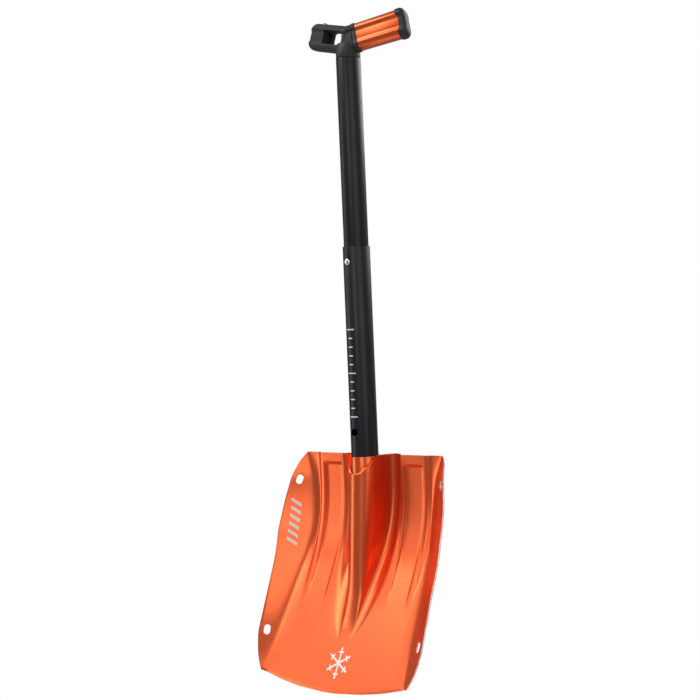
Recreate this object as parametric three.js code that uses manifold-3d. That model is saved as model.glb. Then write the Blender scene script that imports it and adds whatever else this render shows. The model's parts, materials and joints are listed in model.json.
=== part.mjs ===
// Avalanche shovel: a pressed scoop blade on a two-piece telescoping shaft with a T-grip.
// Millimetres. +Z runs up the shaft, +X to the right, and the snow side of the blade faces -Y.
// The frame's origin is the middle of the grip's hub, on the shaft axis.
// Heights named h are measured up from the lowest point of the cutting edge.

import * as THREE from 'three';
import { mergeVertices } from 'three/addons/utils/BufferGeometryUtils.js';
import Module from 'manifold-3d';

const wasm = await Module();
wasm.setup();

// ---------------------------------------------------------------- driving dimensions

const GAP = 0.3; // clearance left between touching pieces
const DEG = Math.PI / 180;

const GRIP_HEIGHT = 733.5; // cutting edge to the middle of the grip hub
const BLADE_TOP = 258; // height of the blade's straight top edge
const SHEET = 1.8; // blade sheet thickness

// floor of the blade: upright at the top, one bend forward, then straight to the edge
const FLOOR_Y = 16;
const BEND_START = 220.5;
const BEND_RADIUS = 180;
const BEND_ANGLE = 30.5 * DEG;

const EDGE_HALF = 104.4; // half width at the bottom corners
const EDGE_RISE = 13.9; // how far the corners sit above the middle of the cutting edge

// shaft sections: [half width in x, half depth in y]
const LOWER_OUT = [13.4, 18.7];
const LOWER_WALL = 1.2;
const UPPER_OUT = [11.9, 17.2];
const UPPER_WALL = 1.2;
const CORNER_AT = [0.74, 0.67]; // the section's corner line, as a share of the half sizes

const LOWER_BOTTOM = 186;
const LOWER_TOP = 498.5;
const UPPER_BOTTOM = 440;
const UPPER_TOP = 713.5;
const FLUTE_TOP = 348;
const FLUTE_DEPTH = 0.75;
const FLUTE_HALF = 8;

const SHAFT_BUTTON_H = 481;
const TELESCOPE_TRAVEL = 195.2; // from the working length to the stowed hole
const BLADE_BUTTON_H = 223;
const BUTTON_R = 4;
const BUTTON_FLANGE = 1.4; // how far the flange stands out from the button's side
const FLANGE_DROP = 2.4; // the flange sits this far in from the middle of the tube wall
const BUTTON_HOLE_R = 4.6;
const BUTTON_PROUD = 1.8; // how far a button stands out of the wall it locks
const STOWED_HOLE_R = 4.3;

const SLEEVE_WALL = 0.8;
const SLEEVE_CLEAR = 0.4;
const PLATE = 2; // socket back plate thickness

// T-grip arms
const ARM_LENGTH = 70;
const ARM_SWEEP = 19 * DEG; // both arms sweep back in plan
const ARM_RISE = 11.5 * DEG; // and climb
const ARM_LEAN = 10 * DEG; // the arm section's top leans back
const ARM_HALF_HEIGHT = 16;
const ARM_HALF_DEPTH = 11.8;
const WAIST_DEPTH = 2.2; // how far the waist of the arm is drawn in
const COLLAR_START = 9;
const SLEEVE_START = 14;
const SLEEVE_END = 63.5;
const GRIP_BUTTON_AT = 54.5;
const WINDOW = { from: 0.5, to: 40, low: -7, high: 8 };

// ---------------------------------------------------------------- materials

const COLOURS = {
  orange: { color: 0xf4622a, roughness: 0.32, metalness: 0.9 },
  black_tube: { color: 0x2b2c2e, roughness: 0.4, metalness: 0.7 },
  black_plastic: { color: 0x202122, roughness: 0.6, metalness: 0 },
  bright_steel: { color: 0xd8d8d6, roughness: 0.2, metalness: 1 },
  spring_steel: { color: 0x8f9194, roughness: 0.35, metalness: 1 },
};

const shovel = new THREE.Group();
const body = new THREE.Group(); // everything below is placed by its height over the cutting edge
body.position.z = -GRIP_HEIGHT;
shovel.add(body);

function addPiece(name, finish, geometry, parent = body) {
  const mesh = new THREE.Mesh(geometry, new THREE.MeshStandardMaterial(COLOURS[finish]));
  mesh.name = name;
  parent.add(mesh);
  return mesh;
}

// ---------------------------------------------------------------- geometry helpers

const lerp = THREE.MathUtils.lerp;
const smooth = THREE.MathUtils.smoothstep;

// value at x on a polyline of [x, value] stops that run upwards in x, straight between stops
function along(stops, x) {
  if (x <= stops[0][0]) return stops[0][1];
  for (let i = 1; i < stops.length; i += 1) {
    const [x0, v0] = stops[i - 1];
    const [x1, v1] = stops[i];
    if (x <= x1) return lerp(v0, v1, (x - x0) / (x1 - x0));
  }
  return stops[stops.length - 1][1];
}

function geometryOf(points, triangles) {
  const geometry = new THREE.BufferGeometry();
  geometry.setAttribute('position', new THREE.Float32BufferAttribute(points, 3));
  geometry.setIndex(triangles);
  return geometry;
}

// a ring-by-ring skin: rings are equal-length closed loops of Vector3, joined in order;
// the first and last are capped, or joined to each other when the skin is a closed band
function skin(rings, closedBand = false) {
  const n = rings[0].length;
  const points = rings.flatMap((ring) => ring.flatMap((p) => [p.x, p.y, p.z]));
  const triangles = [];
  const bands = closedBand ? rings.length : rings.length - 1;
  for (let r = 0; r < bands; r += 1) {
    for (let i = 0; i < n; i += 1) {
      const a = r * n + i;
      const b = r * n + ((i + 1) % n);
      const c = ((r + 1) % rings.length) * n + ((i + 1) % n);
      const d = ((r + 1) % rings.length) * n + i;
      triangles.push(a, b, c, a, c, d);
    }
  }
  if (!closedBand) {
    for (let i = 1; i < n - 1; i += 1) {
      const last = (rings.length - 1) * n;
      triangles.push(0, i + 1, i);
      triangles.push(last, last + i, last + i + 1);
    }
  }
  return facingOut(geometryOf(points, triangles));
}

function facingOut(geometry) {
  const p = geometry.getAttribute('position');
  const index = geometry.getIndex().array;
  const [a, b, c] = [new THREE.Vector3(), new THREE.Vector3(), new THREE.Vector3()];
  let volume = 0;
  for (let i = 0; i < index.length; i += 3) {
    a.fromBufferAttribute(p, index[i]);
    b.fromBufferAttribute(p, index[i + 1]);
    c.fromBufferAttribute(p, index[i + 2]);
    volume += a.dot(b.cross(c));
  }
  if (volume < 0) {
    for (let i = 0; i < index.length; i += 3) {
      [index[i], index[i + 1]] = [index[i + 1], index[i]];
    }
  }
  return geometry;
}

// a sheet of even thickness behind a grid of front-face points, grid[row][column]
function sheet(grid, thickness) {
  const rows = grid.length;
  const columns = grid[0].length;
  const back = grid.map((row, r) => row.map((p, c) => {
    const [left, right] = [row[Math.max(c - 1, 0)], row[Math.min(c + 1, columns - 1)]];
    const [above, below] = [grid[Math.max(r - 1, 0)][c], grid[Math.min(r + 1, rows - 1)][c]];
    const normal = right.clone().sub(left).cross(below.clone().sub(above)).normalize();
    return new THREE.Vector3().copy(p).addScaledVector(normal, thickness);
  }));
  const rings = grid.map((row, r) => [...row, ...back[r].slice().reverse()]);
  const n = columns * 2;
  const points = rings.flatMap((ring) => ring.flatMap((p) => [p.x, p.y, p.z]));
  const triangles = [];
  for (let r = 0; r < rows - 1; r += 1) {
    for (let i = 0; i < n; i += 1) {
      const j = (i + 1) % n;
      const [a, b, c, d] = [r * n + i, r * n + j, (r + 1) * n + j, (r + 1) * n + i];
      triangles.push(a, b, c, a, c, d);
    }
  }
  for (const [r, turn] of [[0, 1], [rows - 1, -1]]) {
    for (let c = 0; c < columns - 1; c += 1) {
      const [a, b] = [r * n + c, r * n + c + 1];
      const [d, e] = [r * n + n - 1 - c, r * n + n - 2 - c];
      triangles.push(...(turn > 0 ? [a, e, b, a, d, e] : [a, b, e, a, e, d]));
    }
  }
  return facingOut(geometryOf(points, triangles));
}

function toSolid(geometry) {
  const bare = geometry.clone();
  bare.deleteAttribute('normal');
  bare.deleteAttribute('uv');
  const merged = mergeVertices(bare, 1e-4);
  return new wasm.Manifold(new wasm.Mesh({
    numProp: 3,
    vertProperties: new Float32Array(merged.getAttribute('position').array),
    triVerts: new Uint32Array(merged.getIndex().array),
  }));
}

function fromSolid(solid) {
  const mesh = solid.getMesh();
  return geometryOf(Array.from(mesh.vertProperties), Array.from(mesh.triVerts));
}

function cut(geometry, ...tools) {
  return fromSolid(tools.reduce((solid, tool) => solid.subtract(toSolid(tool)), toSolid(geometry)));
}

function join(first, ...others) {
  return fromSolid(others.reduce((solid, other) => solid.add(toSolid(other)), toSolid(first)));
}

// a profile of [radius, height] turned round +Z
function turned(profile, sides = 16) {
  const geometry = new THREE.LatheGeometry(profile.map(([r, z]) => new THREE.Vector2(r, z)), sides);
  return geometry.rotateX(Math.PI / 2);
}

// a round rod from one point to another
function rod(radius, from, to, sides = 16) {
  const direction = new THREE.Vector3().subVectors(to, from);
  const geometry = new THREE.CylinderGeometry(radius, radius, direction.length(), sides);
  geometry.rotateX(Math.PI / 2);
  const upright = new THREE.Vector3(0, 0, 1);
  geometry.applyQuaternion(new THREE.Quaternion().setFromUnitVectors(upright, direction.clone().normalize()));
  const middle = from.clone().add(to).multiplyScalar(0.5);
  return geometry.translate(middle.x, middle.y, middle.z);
}

function box(low, high) {
  const size = high.map((value, i) => value - low[i]);
  const middle = high.map((value, i) => (value + low[i]) / 2);
  return new THREE.BoxGeometry(...size).translate(...middle);
}

const at = (x, y, z) => new THREE.Vector3(x, y, z);

// turns a flat (y, h) outline, extruded along its own Z, to stand in the shovel's YZ plane
const YZ_PLANE = new THREE.Matrix4().makeBasis(at(0, 1, 0), at(0, 0, 1), at(1, 0, 0));

// ---------------------------------------------------------------- shaft section

// The tube section is four arcs: tight ones front and back, flatter ones on the sides, meeting at
// a soft corner line. Points run once round, starting at the middle of the front.
function shaftSection([halfX, halfY], steps = 4) {
  const corner = { x: CORNER_AT[0] * halfX, y: CORNER_AT[1] * halfY };
  const drop = halfY - corner.y;
  const frontRadius = (corner.x ** 2 + drop ** 2) / (2 * drop);
  const frontSpan = Math.asin(corner.x / frontRadius);
  const bulge = halfX - corner.x;
  const sideRadius = (corner.y ** 2 + bulge ** 2) / (2 * bulge);
  const sideSpan = Math.asin(corner.y / sideRadius);
  const quarter = [];
  for (let i = 0; i < steps; i += 1) {
    const turn = (frontSpan * i) / steps;
    quarter.push([frontRadius * Math.sin(turn), -(halfY - frontRadius) - frontRadius * Math.cos(turn)]);
  }
  for (let i = 0; i < steps; i += 1) {
    const turn = sideSpan * (1 - i / steps);
    quarter.push([halfX - sideRadius + sideRadius * Math.cos(turn), -sideRadius * Math.sin(turn)]);
  }
  const rightBack = [[halfX, 0], ...quarter.slice(1).reverse().map(([x, y]) => [x, -y])];
  const right = [...quarter, ...rightBack, [0, halfY]];
  const left = right.slice(1, -1).reverse().map(([x, y]) => [-x, y]);
  return [...right, ...left];
}

const inset = ([halfX, halfY], by) => [halfX - by, halfY - by];

function outlineShape(points) {
  return new THREE.Shape(points.map(([x, y]) => new THREE.Vector2(x, y)));
}

// a straight tube, or a solid bar when it has no bore
function bar(outer, from, to, bore = null) {
  const shape = outlineShape(shaftSection(outer));
  if (bore) shape.holes.push(new THREE.Path(outlineShape(shaftSection(bore)).getPoints()));
  const geometry = new THREE.ExtrudeGeometry(shape, { depth: to - from, bevelEnabled: false });
  return geometry.translate(0, 0, from);
}

const REACH = 40; // how far a drilling tool runs past what it cuts

function frontHole(radius, h) {
  return rod(radius, at(0, -REACH, h), at(0, 0, h));
}

function backHole(radius, h) {
  return rod(radius, at(0, 0, h), at(0, REACH, h));
}

// lower tube: its outer wall has a long shallow flute drawn into each side, pointed at the top
function lowerShaft() {
  const bore = shaftSection(inset(LOWER_OUT, LOWER_WALL));
  const outer = shaftSection(LOWER_OUT);
  const ring = (points, h) => points.map(([x, y]) => at(x, y, h));
  const fluted = (h) => outer.map(([x, y]) => {
    const half = FLUTE_HALF * Math.min(1, (FLUTE_TOP - h) / 60);
    const inside = half > 0 && Math.abs(y) < half;
    return at(x - (inside ? Math.sign(x) * FLUTE_DEPTH * smooth(FLUTE_TOP - h, 0, 30) : 0), y, h);
  });
  const rings = [
    ring(bore, LOWER_BOTTOM),
    ring(bore, LOWER_TOP),
    ring(outer, LOWER_TOP),
    ring(outer, FLUTE_TOP),
    ...[FLUTE_TOP - 30, FLUTE_TOP - 60, LOWER_BOTTOM].map(fluted),
  ];
  return cut(
    skin(rings, true),
    frontHole(BUTTON_HOLE_R, SHAFT_BUTTON_H),
    frontHole(STOWED_HOLE_R, SHAFT_BUTTON_H - TELESCOPE_TRAVEL),
    backHole(BUTTON_HOLE_R, BLADE_BUTTON_H),
  );
}

// a plug that closes the foot of a tube: a 3 mm foot below the wall and a stub up the bore
function endPlug(outer, wall, foot) {
  return join(
    bar(outer, foot - 3, foot - GAP),
    bar(inset(outer, wall + GAP), foot - 1, foot + 12),
  );
}

// ---------------------------------------------------------------- snap buttons and their springs

// a domed button with a flange on its inner end; its axis is +Z, with the flange's top at zero
function snapButton(reach) {
  const dome = 2.2;
  const flange = 1.2;
  const domeSteps = 4;
  const flangeR = BUTTON_R + BUTTON_FLANGE;
  const profile = [[0, -flange], [flangeR, -flange], [flangeR, 0], [BUTTON_R, 0], [BUTTON_R, reach - dome]];
  for (let i = 1; i < domeSteps; i += 1) {
    const turn = (Math.PI / 2) * (i / domeSteps);
    profile.push([BUTTON_R * Math.cos(turn), reach - dome + dome * Math.sin(turn)]);
  }
  return turned([...profile, [0, reach]]);
}

// V of spring strip standing in the tube's YZ plane: one leg backs the button, the other rests on
// the far wall, and both open downwards from the bend
function springStrip(buttonLeg, wallLeg) {
  const [width, strip, height] = [7, 0.8, 20];
  const shape = outlineShape([
    [buttonLeg, 0], [buttonLeg - Math.sign(buttonLeg) * strip, 0], [0, height - 2 * strip],
    [wallLeg + Math.sign(buttonLeg) * strip, 0], [wallLeg, 0], [0, height],
  ]);
  const geometry = new THREE.ExtrudeGeometry(shape, { depth: width, bevelEnabled: false });
  geometry.translate(0, 0, -width / 2);
  return geometry.applyMatrix4(YZ_PLANE);
}

// ---------------------------------------------------------------- blade

function floorY(h) {
  const bendHeight = BEND_RADIUS * Math.sin(BEND_ANGLE);
  const drop = BEND_START - h;
  if (drop <= 0) return FLOOR_Y;
  if (drop <= bendHeight) return FLOOR_Y - BEND_RADIUS + Math.sqrt(BEND_RADIUS ** 2 - drop ** 2);
  return FLOOR_Y - BEND_RADIUS * (1 - Math.cos(BEND_ANGLE)) - Math.tan(BEND_ANGLE) * (drop - bendHeight);
}

// outlines up the blade, as [height, value]
const RIM_X = [
  [13.9, 104.4], [27, 112], [52.5, 117], [116.5, 116.2], [169.5, 116.8],
  [201.5, 115], [231.5, 109], [250, 103], [258, 98],
];
const RIM_OUT = [
  [13.9, 2.5], [27, 7], [52.5, 14], [116.5, 25], [169.5, 32], [201.5, 27], [231.5, 19], [250, 7], [258, 0.6],
];
const CREASE_X = [
  [10.7, 97.6], [52.5, 93], [116.5, 90], [169.5, 84], [201.5, 84], [231.5, 88], [258, 96],
];
const LOBE_Y = [[54, -50.6], [75.5, -43], [105.5, -34], [134.5, -31.6], [258, -22.1]];
const LOBE_HALF = [[54, 8], [75.5, 10], [105.5, 12.5], [180, 17.1], [258, 17.3]];
const TROUGH_EDGE = [[54, 9.8], [62.5, 14.7], [75.5, 21.6], [105.5, 30], [134.5, 34], [258, 38.8]];
const TROUGH_DEPTH = [[54, 0], [105.5, 2.5], [170, 6.5], [220, 8], [258, 8]];
const RIM_LIFT = 3.4;
const LOBE_END = 54; // the lobe dies into the floor at this height
const LOBE_EASE = 6;

// front face of the blade at one height: [x, y] from the middle outwards
function bladeProfile(h) {
  const floor = floorY(h);
  const lobe = smooth(h, LOBE_END, LOBE_END + LOBE_EASE);
  const crown = Math.min(along(LOBE_Y, h), floor);
  const half = along(LOBE_HALF, h);
  const trough = along(TROUGH_EDGE, h);
  const deep = floor + along(TROUGH_DEPTH, h);
  const rib = RIM_LIFT * smooth(h, 88, 150);
  const recess = rib * (1 - smooth(h, 243, 248));
  const crease = along(CREASE_X, h);
  const rimX = along(RIM_X, h);
  const rimOut = along(RIM_OUT, h);
  const wingRun = rimX - crease;
  const height = deep - crown;
  const lip = (share) => lerp(deep, crown + height * share, lobe);
  const gully = trough - half;
  return [
    [0, lip(0)],
    [half * 0.42, lip(0.035)],
    [half * 0.76, lip(0.15)],
    [half * 0.985, lip(0.42)],
    [half, lip(0.75)],
    [half + gully * 0.16, lip(0.96)],
    [half + gully * 0.35, deep],
    [half + gully * 0.65, deep],
    [half + gully * 0.88, lerp(deep, floor - rib, 0.55)],
    [Math.max(trough, half + gully) + 1.2, floor - rib],
    [44.6, floor - rib],
    [46.8, floor - rib + recess],
    [69.4, floor - rib + recess],
    [71.6, floor - rib],
    [77.2, floor - rib],
    [80, floor],
    [crease - 1, floor - rimOut * 0.03],
    [crease + wingRun * 0.18, floor - rimOut * 0.14],
    [crease + wingRun * 0.6, floor - rimOut * 0.58],
    [rimX, floor - rimOut],
  ];
}

function bladeGrid() {
  const heights = [
    258, 251, 248, 243, 231.5, 220.5, 208, 195, 182, 169.5, 156, 143, 130, 117, 105, 94, 84, 75, 67, 60, 54,
  ];
  const foot = heights[heights.length - 1];
  const edgeSteps = [0.35, 0.7, 1];
  const edgeRise = (x) => EDGE_RISE * (x / EDGE_HALF) ** 2;
  const row = (profile, heightAt) => {
    const right = profile.map(([x, y]) => at(x, y, heightAt(x)));
    return [...right.slice(1).reverse().map((p) => at(-p.x, p.y, p.z)), ...right];
  };
  const grid = heights.map((h) => row(bladeProfile(h), () => h));
  for (const step of edgeSteps) {
    const middle = bladeProfile(lerp(foot, EDGE_RISE, step));
    const profile = middle.map(([x, y]) => {
      const h = lerp(foot, edgeRise(x), step);
      return [x, y + floorY(h) - floorY(lerp(foot, EDGE_RISE, step))];
    });
    grid.push(row(profile, (x) => lerp(foot, edgeRise(x), step)));
  }
  return grid;
}

// the oblong lashing holes, given by height and by how far in from the rim they sit
const STRAP_HOLES = [{ h: 226, inFromRim: 11 }, { h: 57, inFromRim: 10 }];
const STRAP_HOLE = { width: 8.5, length: 12 };

function strapHoleCutter(side, { h, inFromRim }) {
  const rise = 10; // the rim's direction is taken between points this far above and below
  const depth = 16;
  const rim = (height) => at(along(RIM_X, height), floorY(height) - along(RIM_OUT, height), height);
  const crease = at(along(CREASE_X, h), floorY(h), h);
  const outwards = rim(h).sub(crease).normalize();
  const middle = rim(h).addScaledVector(outwards, -inFromRim);
  const upwards = rim(h + rise).sub(rim(h - rise)).normalize();
  const normal = new THREE.Vector3().crossVectors(outwards, upwards).normalize();
  const span = (STRAP_HOLE.length - STRAP_HOLE.width) / 2;
  const shape = new THREE.Shape();
  shape.absarc(0, span, STRAP_HOLE.width / 2, 0, Math.PI);
  shape.absarc(0, -span, STRAP_HOLE.width / 2, Math.PI, 2 * Math.PI);
  const geometry = new THREE.ExtrudeGeometry(shape, { depth, bevelEnabled: false, curveSegments: 6 });
  geometry.translate(0, 0, -depth / 2);
  const across = new THREE.Vector3().crossVectors(upwards, normal).normalize();
  geometry.applyMatrix4(new THREE.Matrix4().makeBasis(across, upwards, normal));
  geometry.translate(middle.x, middle.y, middle.z);
  if (side < 0) {
    geometry.scale(-1, 1, 1);
    return facingOut(mergedOnly(geometry));
  }
  return geometry;
}

function mergedOnly(geometry) {
  geometry.deleteAttribute('normal');
  geometry.deleteAttribute('uv');
  return mergeVertices(geometry, 1e-4);
}

// the front of the lobe is cut down in a U so that the socket sleeve's mouth shows above it
function lipCutter() {
  const width = 44;
  const outline = [[-32, 233], [-21.8, 234], [-17, 243], [-8, 251], [2, 259], [2, 275], [-32, 275]];
  const geometry = new THREE.ExtrudeGeometry(outlineShape(outline), { depth: width, bevelEnabled: false });
  geometry.translate(0, 0, -width / 2);
  return geometry.applyMatrix4(YZ_PLANE);
}

const RIVET_X = 27.1;
const RIVET_HEIGHTS = { upper: 243, lower: 218 };
const RIVET_R = 1.9;
const HEAD_R = 3.2;
const HEAD_T = 1;

function troughY(h) {
  return floorY(h) + along(TROUGH_DEPTH, h);
}

function rivetHole(side, h) {
  return rod(RIVET_R + GAP, at(side * RIVET_X, 0, h), at(side * RIVET_X, REACH, h), 12);
}

function blade() {
  const tools = [lipCutter()];
  for (const side of [-1, 1]) {
    tools.push(...STRAP_HOLES.map((hole) => strapHoleCutter(side, hole)));
    for (const h of Object.values(RIVET_HEIGHTS)) {
      tools.push(rivetHole(side, h));
    }
  }
  return cut(sheet(bladeGrid(), SHEET), ...tools);
}

// ---------------------------------------------------------------- socket

const SLEEVE_OUT = LOWER_OUT.map((half) => half + SLEEVE_CLEAR + SLEEVE_WALL);
const SLEEVE_TOP = BLADE_TOP - 0.5;
const SLEEVE_BOTTOM = 190;
const PLATE_TOP = 252;
const PLATE_BOTTOM = 194;

function socketSleeve() {
  const tube = bar(SLEEVE_OUT, SLEEVE_BOTTOM, SLEEVE_TOP, inset(SLEEVE_OUT, SLEEVE_WALL));
  return cut(tube, backHole(BUTTON_HOLE_R, BLADE_BUTTON_H));
}

// hat-shaped plate behind the sleeve, with flanges on the backs of the two troughs
function socketBack() {
  const heights = [PLATE_TOP, 238, 220.5, 207, PLATE_BOTTOM];
  const seat = SLEEVE_OUT[1] + GAP;
  const grid = heights.map((h) => {
    const flange = troughY(h) + SHEET + 2 * GAP;
    const right = [[0, seat], [9, seat], [12.5, seat + 1], [19.5, flange + 0.2], [23, flange], [34, flange]];
    const points = right.map(([x, y]) => at(x, y, h));
    return [...points.slice(1).reverse().map((p) => at(-p.x, p.y, p.z)), ...points];
  });
  const tools = [backHole(BUTTON_HOLE_R, BLADE_BUTTON_H)];
  for (const side of [-1, 1]) {
    for (const h of Object.values(RIVET_HEIGHTS)) {
      tools.push(rivetHole(side, h));
    }
  }
  return cut(sheet(grid, PLATE), ...tools);
}

// a low-headed rivet whose shank runs +Y through the blade and the plate
function rivet(h) {
  const grip = SHEET + PLATE + 2 * GAP + 0.8;
  const start = -HEAD_T - GAP;
  const profile = [
    [0, start], [HEAD_R * 0.7, start], [HEAD_R, -GAP], [RIVET_R, -GAP],
    [RIVET_R, grip + GAP], [HEAD_R, grip + GAP],
    [HEAD_R * 0.7, grip + GAP + HEAD_T], [0, grip + GAP + HEAD_T],
  ];
  return turned(profile, 12).rotateX(-Math.PI / 2).translate(0, troughY(h), 0);
}

// ---------------------------------------------------------------- T-grip

// rounded section with a drawn-in waist, in arm coordinates: [depth, height]
function armSection(scale = 1, steps = 24) {
  const points = [];
  for (let i = 0; i < steps; i += 1) {
    const turn = (2 * Math.PI * i) / steps;
    const [c, s] = [Math.cos(turn), Math.sin(turn)];
    const height = ARM_HALF_HEIGHT * Math.sign(s) * Math.abs(s) ** 0.85;
    const waist = WAIST_DEPTH * (1 - smooth(Math.abs(height), 4, 9));
    const depth = Math.sign(c) * Math.max(0, ARM_HALF_DEPTH * Math.abs(c) ** 0.6 - waist);
    points.push([depth * scale, height * scale]);
  }
  return points;
}

// local frame of an arm: x runs out along the arm, z up its leaning section, and y across it
function armMatrix(side) {
  const [cosLean, sinLean] = [Math.cos(ARM_LEAN), Math.sin(ARM_LEAN)];
  const out = at(side * Math.cos(ARM_SWEEP), Math.sin(ARM_SWEEP), Math.tan(ARM_RISE)).normalize();
  const level = new THREE.Vector3().crossVectors(at(0, 0, 1), out).normalize().multiplyScalar(side);
  const up = new THREE.Vector3().crossVectors(out, level).multiplyScalar(side).normalize();
  const across = level.clone().multiplyScalar(cosLean).addScaledVector(up, -sinLean).multiplyScalar(side);
  const leaning = up.multiplyScalar(cosLean).addScaledVector(level, sinLean);
  return new THREE.Matrix4().makeBasis(out, across, leaning).setPosition(0, 0, GRIP_HEIGHT);
}

// a bar along an arm through stations of [distance out, section scale]
function armBar(side, stations) {
  return skin(stations.map(([out, scale]) => armLoop(side, out, scale)));
}

// a hollow length of an arm
function armRing(side, from, to, scale, boreScale) {
  const stations = [[from, scale], [to, scale], [to, boreScale], [from, boreScale]];
  return skin(stations.map(([out, size]) => armLoop(side, out, size)), true);
}

function armLoop(side, out, scale) {
  const matrix = armMatrix(side);
  return armSection(scale).map(([y, z]) => at(out, y, z).applyMatrix4(matrix));
}

// stations that round off the end of an arm over the length fall
function roundEnd(end, fall) {
  return [[end - fall, 1], [end - fall * 0.45, 0.95], [end - fall * 0.12, 0.82], [end, 0.62]];
}

const CORE_SCALE = 0.8; // section of the core under the collar, sleeve and cap
const CORE_END = SLEEVE_END + 3;
const BUTTON_SEAT = 11; // height of the grip button's flange in its arm
const SPRING_HALF = 7.5;
const SPRING_WELL_R = BUTTON_R + 1.8;

function armTool(side, geometry) {
  const placed = geometry.clone().applyMatrix4(armMatrix(side));
  return facingOut(mergedOnly(placed));
}

function neck() {
  const levels = [
    [UPPER_TOP + GAP, UPPER_OUT],
    [UPPER_TOP + 4, UPPER_OUT],
    [UPPER_TOP + 10, [12.8, 15.6]],
    [UPPER_TOP + 17, [14, 12.5]],
  ];
  return skin(levels.map(([h, halves]) => shaftSection(halves).map(([x, y]) => at(x, y, h))));
}

const SPIGOT_LENGTH = 26;
const INSIDE_HUB = -4; // arm bars start this far across the shaft axis
const SLOT = { from: WINDOW.to - 1, to: WINDOW.to + 4, half: 3.2, low: -5.5, high: 6 };

function gripBody() {
  const arms = join(
    armBar(-1, [[INSIDE_HUB, 1], ...roundEnd(ARM_LENGTH, 9)]),
    armBar(1, [[INSIDE_HUB, 1], [COLLAR_START, 1]]),
    neck(),
  );
  const shoulder = cut(arms, armBar(1, [[COLLAR_START - GAP, 1.3], [ARM_LENGTH, 1.3]]));
  const hub = join(
    shoulder,
    armBar(1, [[INSIDE_HUB, CORE_SCALE - 0.03], [CORE_END, CORE_SCALE - 0.03]]),
    bar(inset(UPPER_OUT, UPPER_WALL + GAP), UPPER_TOP - SPIGOT_LENGTH, UPPER_TOP + 8),
  );
  return cut(
    hub,
    armTool(-1, box([WINDOW.from, -REACH, WINDOW.low], [WINDOW.to, REACH, WINDOW.high])),
    armTool(-1, box([SLOT.from, -SLOT.half, SLOT.low], [SLOT.to, SLOT.half, SLOT.high])),
    armTool(-1, rod(BUTTON_HOLE_R, at(GRIP_BUTTON_AT, 0, BUTTON_SEAT - 2), at(GRIP_BUTTON_AT, 0, REACH))),
    armTool(-1, rod(
      SPRING_WELL_R, at(GRIP_BUTTON_AT, 0, -SPRING_HALF - 0.5), at(GRIP_BUTTON_AT, 0, BUTTON_SEAT),
    )),
    screwHole(),
  );
}

// the screw that holds the grip on the upper tube, driven in from the back
const SCREW_H = UPPER_TOP - 12;
const SCREW_TIP = 8;
const SCREW_R = 2;
const SCREW_HEAD_R = 3.4;
const SCREW_HEAD_T = 1.3;

function screwHole() {
  return rod(SCREW_R + GAP, at(0, SCREW_TIP - GAP, SCREW_H), at(0, REACH, SCREW_H), 12);
}

function neckScrew() {
  const head = UPPER_OUT[1] + GAP - SCREW_TIP;
  const profile = [
    [0, 0], [SCREW_R, 0], [SCREW_R, head], [SCREW_HEAD_R, head], [SCREW_HEAD_R, head + SCREW_HEAD_T * 0.4],
    [SCREW_HEAD_R * 0.75, head + SCREW_HEAD_T], [0, head + SCREW_HEAD_T],
  ];
  return turned(profile, 20).rotateX(-Math.PI / 2).translate(0, SCREW_TIP, SCREW_H);
}

// ---------------------------------------------------------------- assembly

addPiece('blade', 'orange', blade());
addPiece('socket_sleeve', 'orange', socketSleeve());
addPiece('socket_back', 'orange', socketBack());
for (const [sideName, side] of [['left', -1], ['right', 1]]) {
  for (const [level, h] of Object.entries(RIVET_HEIGHTS)) {
    const piece = addPiece(`rivet_${sideName}_${level}`, 'orange', rivet(h));
    piece.position.set(side * RIVET_X, 0, h);
  }
}

addPiece('lower_shaft', 'black_tube', lowerShaft());
addPiece('lower_end_plug', 'black_plastic', endPlug(LOWER_OUT, LOWER_WALL, LOWER_BOTTOM));

addPiece('upper_shaft', 'black_tube', cut(
  bar(UPPER_OUT, UPPER_BOTTOM, UPPER_TOP, inset(UPPER_OUT, UPPER_WALL)),
  frontHole(BUTTON_HOLE_R, SHAFT_BUTTON_H),
  screwHole(),
));
addPiece('guide_bush', 'black_plastic', endPlug(UPPER_OUT, UPPER_WALL, UPPER_BOTTOM));

const LEG_PAST = 1.6; // from a button's seat to the leg that backs it, and past the seat on the far side
const STRIP_FOOT = -3; // height of a strip's feet from its button's axis

const shaftSeat = UPPER_OUT[1] - UPPER_WALL - FLANGE_DROP;
const shaftReach = LOWER_OUT[1] + BUTTON_PROUD - shaftSeat;
const shaftButton = addPiece('shaft_button', 'bright_steel', snapButton(shaftReach));
shaftButton.position.set(0, -shaftSeat, SHAFT_BUTTON_H);
shaftButton.rotation.x = Math.PI / 2;
const shaftStrip = springStrip(LEG_PAST - shaftSeat, shaftSeat + LEG_PAST);
const shaftSpring = addPiece('shaft_button_spring', 'spring_steel', shaftStrip);
shaftSpring.position.set(0, 0, SHAFT_BUTTON_H + STRIP_FOOT);

const bladeSeat = LOWER_OUT[1] - LOWER_WALL - FLANGE_DROP;
const plateBack = SLEEVE_OUT[1] + GAP + PLATE;
const bladeReach = plateBack + BUTTON_PROUD - bladeSeat;
const bladeButton = addPiece('blade_button', 'bright_steel', snapButton(bladeReach));
bladeButton.position.set(0, bladeSeat, BLADE_BUTTON_H);
bladeButton.rotation.x = -Math.PI / 2;
const bladeStrip = springStrip(bladeSeat - LEG_PAST, -(bladeSeat + LEG_PAST));
const bladeSpring = addPiece('blade_button_spring', 'spring_steel', bladeStrip);
bladeSpring.position.set(0, 0, BLADE_BUTTON_H + STRIP_FOOT);

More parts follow.
